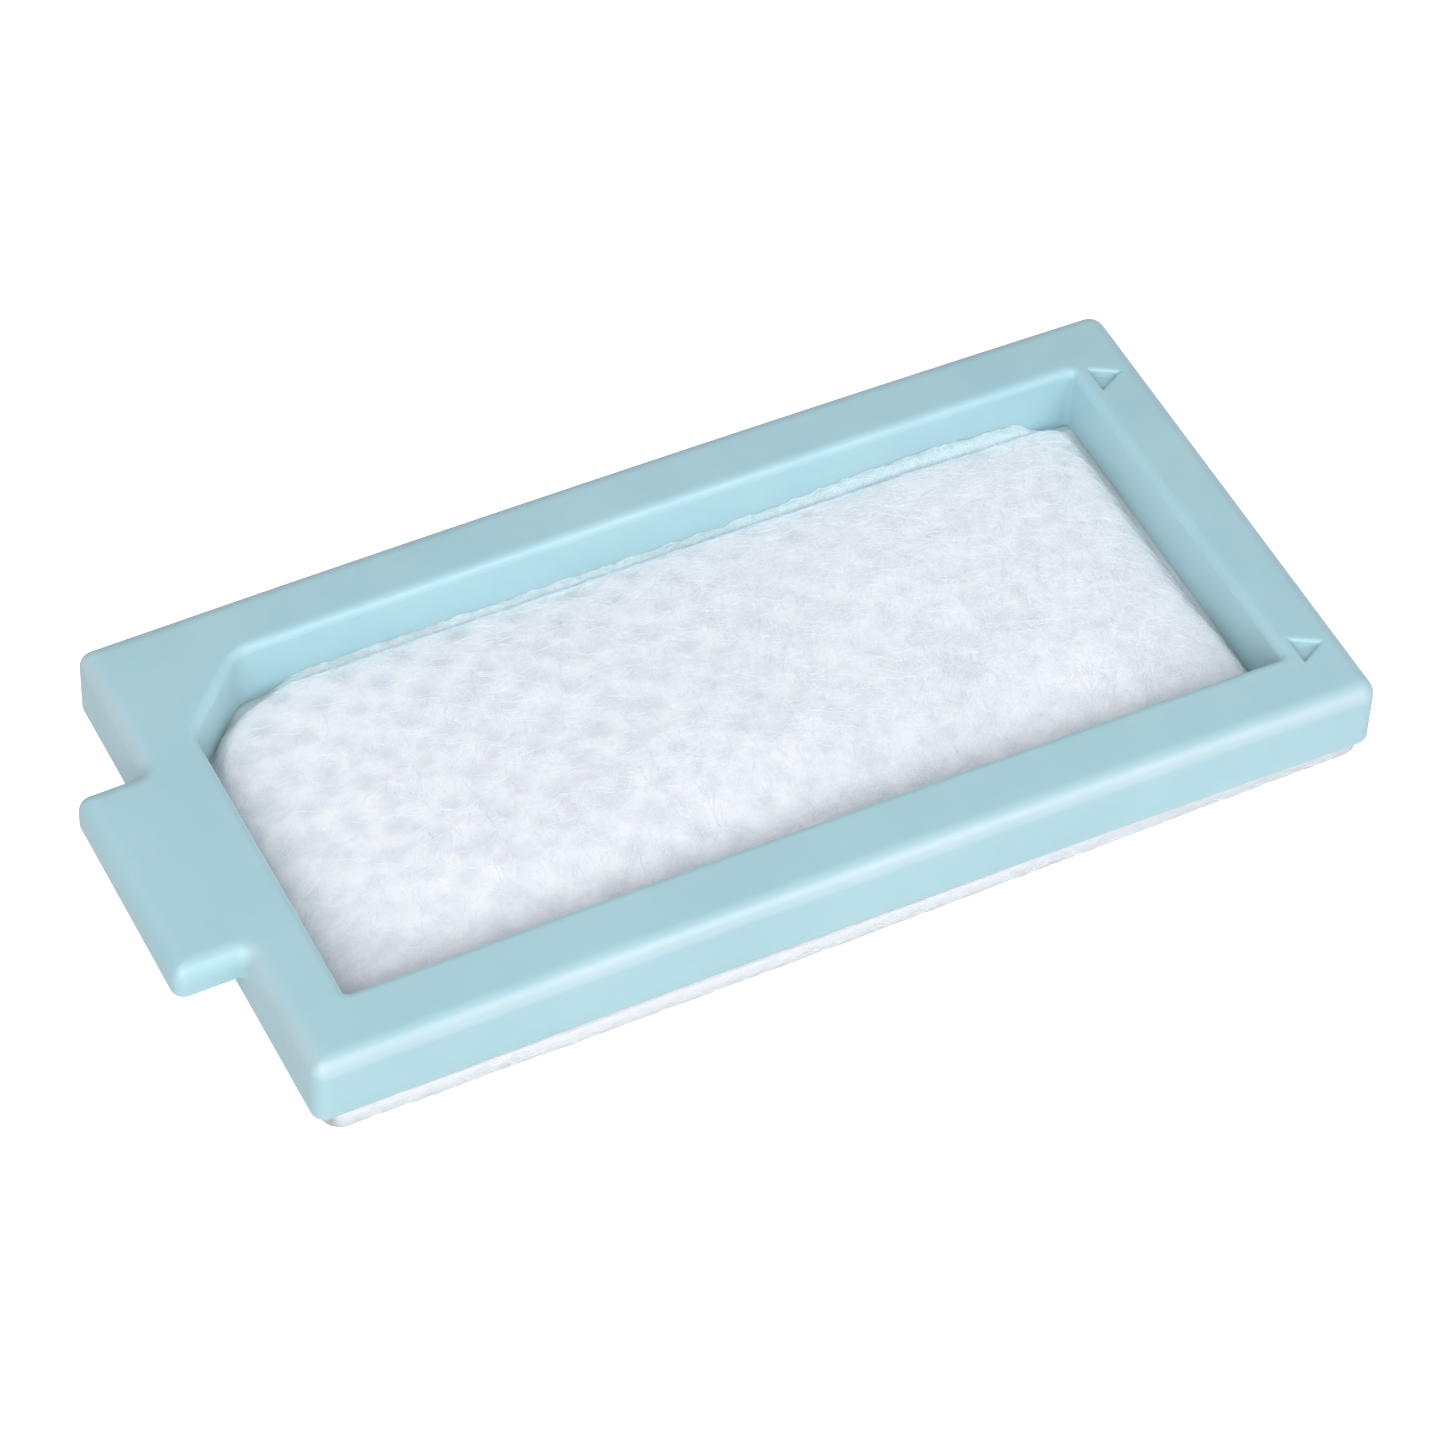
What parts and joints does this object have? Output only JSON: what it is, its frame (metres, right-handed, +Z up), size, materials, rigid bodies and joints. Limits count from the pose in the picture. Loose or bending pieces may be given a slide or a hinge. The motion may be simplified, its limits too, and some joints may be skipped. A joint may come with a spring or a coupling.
{
  "type": "framed air inlet filter",
  "caption": "Slide-in air inlet filter: soft moulded rectangular frame with a pull tab and a cut aperture corner, over a puffed white fibre laminate.",
  "frame": {"origin": "middle of the bounding box's bottom face, on the surface that the filter lies on", "axes": "+X along the length, from the pull tab towards the end with the arrow marks; +Y across, towards the cut aperture corner's side; +Z up, out of the open face of the frame"},
  "size_m": [0.0594, 0.0286, 0.005],
  "materials": {
    "frame_elastomer": "soft satin moulded elastomer, pale aqua",
    "cover_nonwoven": "point bonded fluffy nonwoven, white",
    "lofty_fibre": "loose needled fibre, white",
    "backing_nonwoven": "dense smooth nonwoven, white"
  },
  "bodies": {
    "root": {"frame": "frame_elastomer", "cover_ply": "cover_nonwoven", "fibre_batt": "lofty_fibre", "backing_sheet": "backing_nonwoven"}
  },
  "joints": []
}
